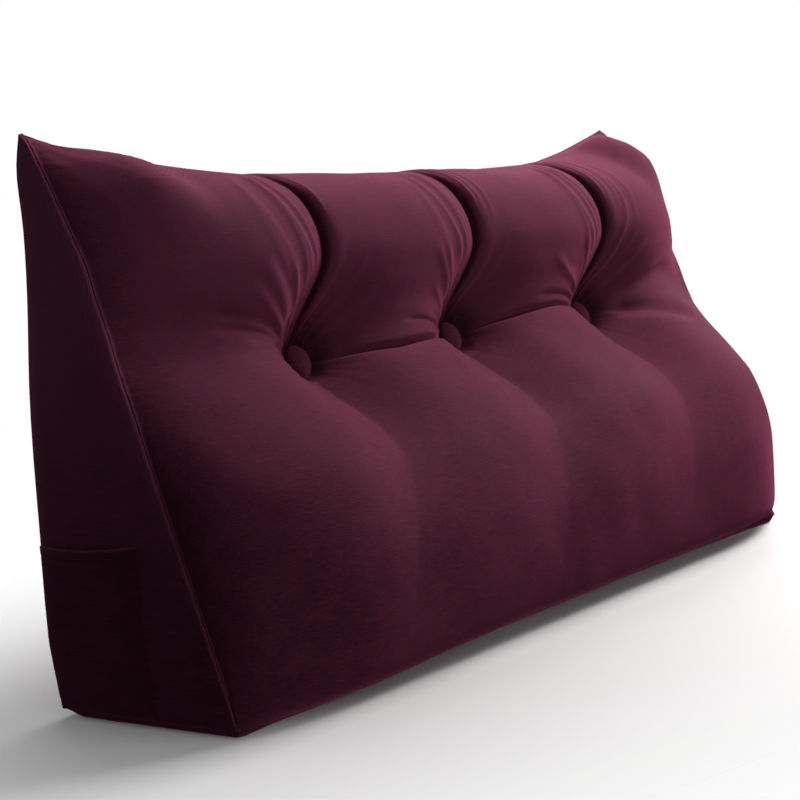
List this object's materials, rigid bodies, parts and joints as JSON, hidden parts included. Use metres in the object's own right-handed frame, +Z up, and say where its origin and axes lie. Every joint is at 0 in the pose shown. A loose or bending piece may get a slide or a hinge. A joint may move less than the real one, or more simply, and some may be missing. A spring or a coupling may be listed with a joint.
{
  "type": "wedge backrest pillow",
  "caption": "Tall stuffed wedge pillow with a button-tufted leaning face, flat base, eared top corners and a patch pocket at its end, to sit up against in bed or on a sofa.",
  "frame": {"origin": "middle of the flat base that stands on the bed or seat", "axes": "+X along the pillow towards its right end as seen from the front, +Y towards its back, +Z up"},
  "size_m": [1.0177, 0.2772, 0.5015],
  "materials": {
    "velvet_cover": "short-pile velvet, dark plum, with a soft sheen at grazing angles",
    "velvet_button": "short-pile velvet stretched over the button, dark plum"
  },
  "bodies": {
    "root": {"cushion": "velvet_cover", "end_panel_left": "velvet_cover", "end_panel_right": "velvet_cover", "pocket_left": "velvet_cover", "button_left": "velvet_button", "button_middle": "velvet_button", "button_right": "velvet_button"}
  },
  "joints": []
}
